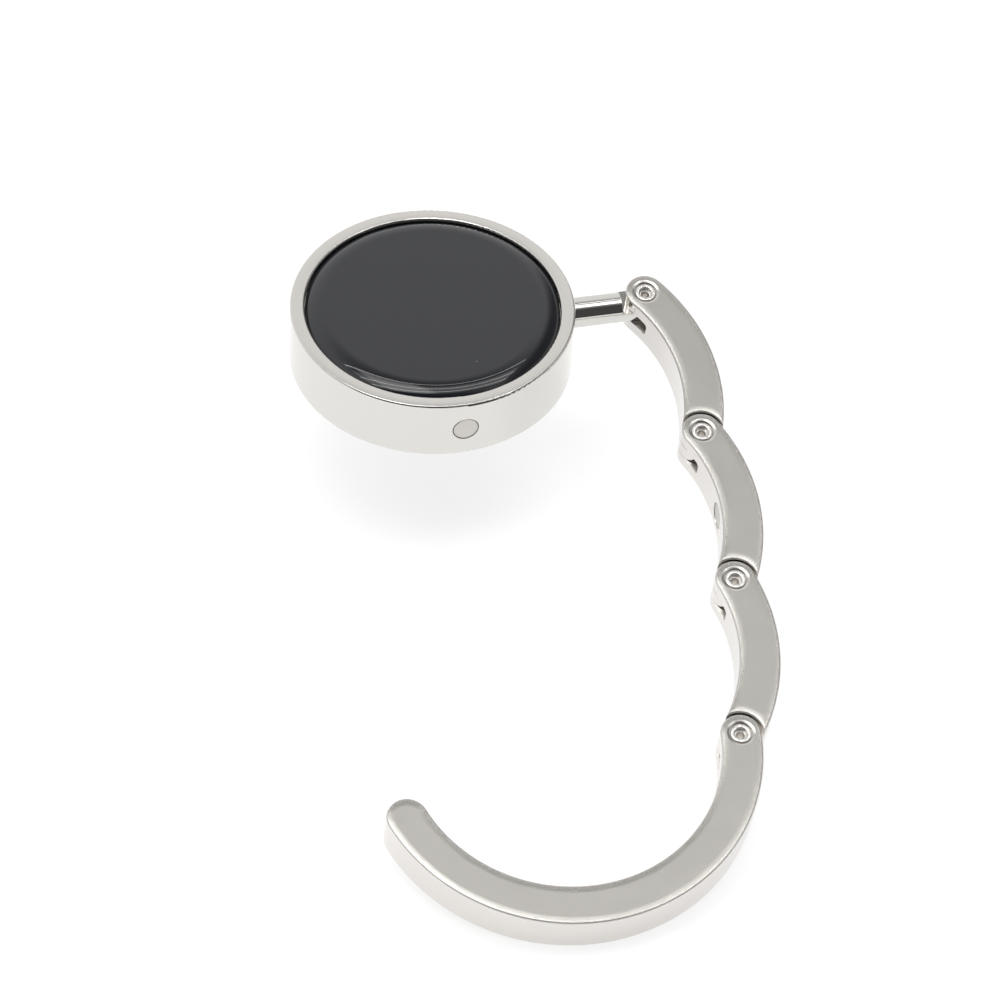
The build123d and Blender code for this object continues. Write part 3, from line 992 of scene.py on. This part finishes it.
def ring(tree, inner, outer, low, high, rounding):
    """A closed ring with a rounded section, between two radii and two heights."""
    section = tree.node(
        "GeometryNodeCurvePrimitiveQuadrilateral",
        {"mode": "RECTANGLE"},
        {"Width": outer - inner, "Height": high - low},
    )
    section = tree.node(
        "GeometryNodeFilletCurve",
        {"mode": "POLY"},
        {"Curve": section, "Count": CORNER_POINTS, "Radius": rounding},
    )
    path = tree.node(
        "GeometryNodeCurvePrimitiveCircle",
        inputs={"Resolution": RING_SIDES, "Radius": (inner + outer) / 2},
    )
    swept = tree.node(
        "GeometryNodeCurveToMesh", inputs={"Curve": path, "Profile Curve": section}
    )
    lift = tree.vector(0, 0, (low + high) / 2)
    return tree.node("GeometryNodeTransform", inputs={"Geometry": swept, "Translation": lift})


def rivet_shape(finish):
    """The tree of a tubular rivet with a rolled flange at each end."""
    labels = ("Half length", "Flange radius", "Bore radius", "Turn", "Tilt")
    group, tree, size = new_shape("tubular_rivet", labels, ("Place",))
    end = size["Half length"]
    flange = size["Flange radius"]
    bore = size["Bore radius"]
    seat = end * (1 - FLANGE_RISE_SHARE)
    step = end - bore * STEP_DEPTH_SHARE
    wall = flange - bore
    inner = bore * STEP_BORE_SHARE
    collar = ring(tree, bore, flange, seat, end, wall * FLANGE_ROUNDING_SHARE)
    two_ends = tree.node("GeometryNodeMeshLine", inputs={"Count": 2, "Offset": (0, 0, 0)})
    index = tree.node("GeometryNodeInputIndex")
    over = tree.node("FunctionNodeEulerToRotation", inputs={"Euler": tree.vector(index * pi, 0, 0)})
    collars = tree.node(
        "GeometryNodeInstanceOnPoints",
        inputs={"Points": two_ends, "Instance": collar, "Rotation": over},
    )
    tube = ring(
        tree,
        bore,
        flange * TUBE_RADIUS_SHARE,
        end * -TUBE_LENGTH_SHARE,
        end * TUBE_LENGTH_SHARE,
        wall * TUBE_ROUNDING_SHARE,
    )
    sleeve = ring(
        tree,
        inner,
        bore * SLEEVE_RADIUS_SHARE,
        step * -1,
        step,
        (bore - inner) * SLEEVE_ROUNDING_SHARE,
    )
    whole = tree.node("GeometryNodeJoinGeometry", inputs={"Geometry": [collars, tube, sleeve]})
    turned = tree.node(
        "GeometryNodeTransform",
        inputs={"Geometry": whole, "Rotation": tree.vector(0, 0, size["Turn"])},
    )
    placed = tree.node("GeometryNodeTransform", inputs={
        "Geometry": turned,
        "Rotation": tree.vector(size["Tilt"], 0, 0),
        "Translation": size["Place"],
    })
    close_shape(tree, placed, finish)
    return group


rivet_tree = rivet_shape(rivet_nickel())
for number, body in enumerate(("link_1", "link_2", "link_3", "hook"), start=1):
    rivet = grow(f"hinge_pin_{number}_rivet", rivet_tree, {
        "Half length": PIN_HALF_LENGTH,
        "Flange radius": FLANGE_RADIUS,
        "Bore radius": BORE_RADIUS,
        "Turn": number * PIN_TURN,
        "Tilt": PIN_TILT,
        "Place": middle_of(f"hinge_pin_{number}"),
    })
    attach(rivet, body)
    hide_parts(f"hinge_pin_{number}")

# %% [markdown]
# The studio
#
# Polished metal has no look of its own: it shows the room. The room here is the plain one of a
# product photograph: a pale wall behind the object, a dim ceiling with a softbox, three long
# tubes and a window light to the left of them, and the unlit parts of the room behind the camera
# and to the right. The dark room draws the long dark line on the stem, and the dark corner the
# outer edges of the links. Far to the left and to the right the side walls are pale grey again,
# so that the satin tops aren't black when somebody looks at the object from there.
#
# The world paints the room by direction, with 1 straight ahead, and the lamps by slope: how far
# aside a ray has gone when it has risen by one. Rays that hardly rise miss the lamps. What the
# camera sees past the floor is plain white.

# %% World: the room
WALL_LIGHT = 0.92
CEILING_LIGHT = 0.20
CEILING_HEIGHTS = (0.70, 1.00)
ROOM_LIGHT = 0.07
ROOM_NEARNESS = (0.20, 0.42)
CORNER_LIGHT = 0.16
CORNER_NEARNESS = (0.42, 0.72)
SIDE_WALL_LIGHT = 0.60
SIDE_WALL_NEARNESS = (0.84, 0.93)

# %% World: the lamps
LAMP_HEIGHTS = (0.3, 0.5)
LAMP_BLUR = 0.06
LEAST_RISE = 0.1
TUBE_LIGHT = 6.5
TUBE_SLOPES = (-0.165, 0.03, 0.31)
TUBE_HALF_WIDTH = 0.006
TUBE_BLUR = 0.01
TUBE_REACH = 0.65
SOFTBOX_LIGHT = 0.95
SOFTBOX_SLOPES = (-0.24, 0.14)
WINDOW_LIGHT = 1.50
WINDOW_ASIDE = (-0.42, -0.04)
WINDOW_SLOPES = (-0.24, 0.26)


def pane(slope, low, high):
    """1 between two slopes and 0 outside them, with a blurred edge."""
    return slope.between(low - LAMP_BLUR, low) * (1 - slope.between(high, high + LAMP_BLUR))


def room_light(direction):
    """How bright the room is in a direction, without its lamps."""
    towards_camera = (sin(CAMERA_ROUND), -cos(CAMERA_ROUND), 0)
    room = direction.dot(towards_camera).between(*ROOM_NEARNESS)
    ceiling = direction.part("Z").between(*CEILING_HEIGHTS)
    corner = direction.part("X").between(*CORNER_NEARNESS)
    side_wall = direction.part("X").size().between(*SIDE_WALL_NEARNESS)
    lit = WALL_LIGHT + (CEILING_LIGHT - WALL_LIGHT) * ceiling
    lit = lit + (CORNER_LIGHT - lit) * corner
    level = lit * (1 - room) + room * ROOM_LIGHT
    return level + (SIDE_WALL_LIGHT - level) * side_wall


def add_lamps(level, direction):
    """The same brightness with the tubes, the softbox and the window light on it."""
    height = direction.part("Z")
    rise = height.at_least(LEAST_RISE)
    above = height.between(*LAMP_HEIGHTS)
    slope = direction.part("Y") / rise
    aside = direction.part("X") / rise
    reach = above * (1 - aside.size().between(TUBE_REACH, TUBE_REACH + LAMP_BLUR))
    for at in TUBE_SLOPES:
        tube = 1 - (slope - at).size().between(TUBE_HALF_WIDTH, TUBE_HALF_WIDTH + TUBE_BLUR)
        level = level + tube * reach * TUBE_LIGHT
    level = level + pane(slope, *SOFTBOX_SLOPES) * reach * SOFTBOX_LIGHT
    window = pane(slope, *WINDOW_SLOPES) * pane(aside, *WINDOW_ASIDE)
    return level + window * above * WINDOW_LIGHT


def make_world():
    """White for the camera, and the studio for everything that mirrors or is lit."""
    world = bpy.data.worlds.new("studio")
    world.use_nodes = True
    world.node_tree.nodes.clear()
    tree = Tree(world.node_tree)
    direction = tree.node("ShaderNodeTexCoord", output="Generated")
    level = add_lamps(room_light(direction), direction)
    seen = tree.node("ShaderNodeLightPath", output="Is Camera Ray")
    level = level * (1 - seen) + seen
    glow = tree.node("ShaderNodeBackground", inputs={"Color": (1, 1, 1, 1), "Strength": level})
    tree.node("ShaderNodeOutputWorld", inputs={"Surface": glow})
    bpy.context.scene.world = world


make_world()
print("a room with", len(TUBE_SLOPES), "tubes, a softbox and a window light")

# %% [markdown]
# Floor and lamp
#
# The hook's bow is the lowest part and lies on the table, so the floor is at its lowest point.
# The floor is a pale diffuse sheet that also glows a little for the camera and for mirrors: it
# comes out white where nothing shades it, and still darkens under the object. The lamp lights
# what is matt and casts the shadow. Metal doesn't mirror it, because the world's softbox is what
# metal shows, and one light shouldn't be seen twice. Sizes and places here are in metres, and
# the lamp's power in watts.

# %% Floor and softbox
FLOOR_SIDE = 6.0
FLOOR_COLOUR = (0.40, 0.40, 0.40, 1)
FLOOR_GLOW = 0.78
MIRRORED_GLOW = 0.74
LAMP_PLACE = Vector((0.05, -0.030, 0.62))
LAMP_LENGTH = 0.60
LAMP_DEPTH = 0.22
LAMP_POWER = 0.56


def make_floor():
    """A wide sheet under the object that shows white and keeps the shadow."""
    mesh = bpy.data.meshes.new("floor")
    half = FLOOR_SIDE / 2
    corners = [(-half, -half), (half, -half), (half, half), (-half, half)]
    mesh.from_pydata([(x, y, cad_low.z) for x, y in corners], [], [(0, 1, 2, 3)])
    floor = bpy.data.objects.new("floor", mesh)
    bpy.context.scene.collection.objects.link(floor)
    paper, tree = new_finish("paper")
    matt = tree.node("ShaderNodeBsdfDiffuse", inputs={"Color": FLOOR_COLOUR})
    seen = tree.node("ShaderNodeLightPath", output="Is Camera Ray")
    mirrored = tree.node("ShaderNodeLightPath", output="Is Glossy Ray")
    glow = tree.node(
        "ShaderNodeEmission", inputs={"Strength": seen * FLOOR_GLOW + mirrored * MIRRORED_GLOW}
    )
    both = tree.node("ShaderNodeAddShader", inputs={0: matt, 1: glow})
    tree.node("ShaderNodeOutputMaterial", inputs={"Surface": both})
    mesh.materials.append(paper)


def make_lamp():
    """A softbox over the object, which lights it and isn't mirrored in it."""
    lamp = bpy.data.objects.new("softbox", bpy.data.lights.new("softbox", "AREA"))
    bpy.context.scene.collection.objects.link(lamp)
    lamp.data.shape = "RECTANGLE"
    lamp.data.size = LAMP_LENGTH
    lamp.data.size_y = LAMP_DEPTH
    lamp.data.energy = LAMP_POWER
    lamp.location = LAMP_PLACE
    lamp.visible_glossy = False


make_floor()
make_lamp()
print("floor at", round(cad_low.z / MM, 2), "mm, lamp at", tuple(LAMP_PLACE), "m")

# %% [markdown]
# Closing
#
# The view transform is Standard, so that a colour renders about as it is written.

# %% Finish
bpy.context.scene.view_settings.view_transform = "Standard"
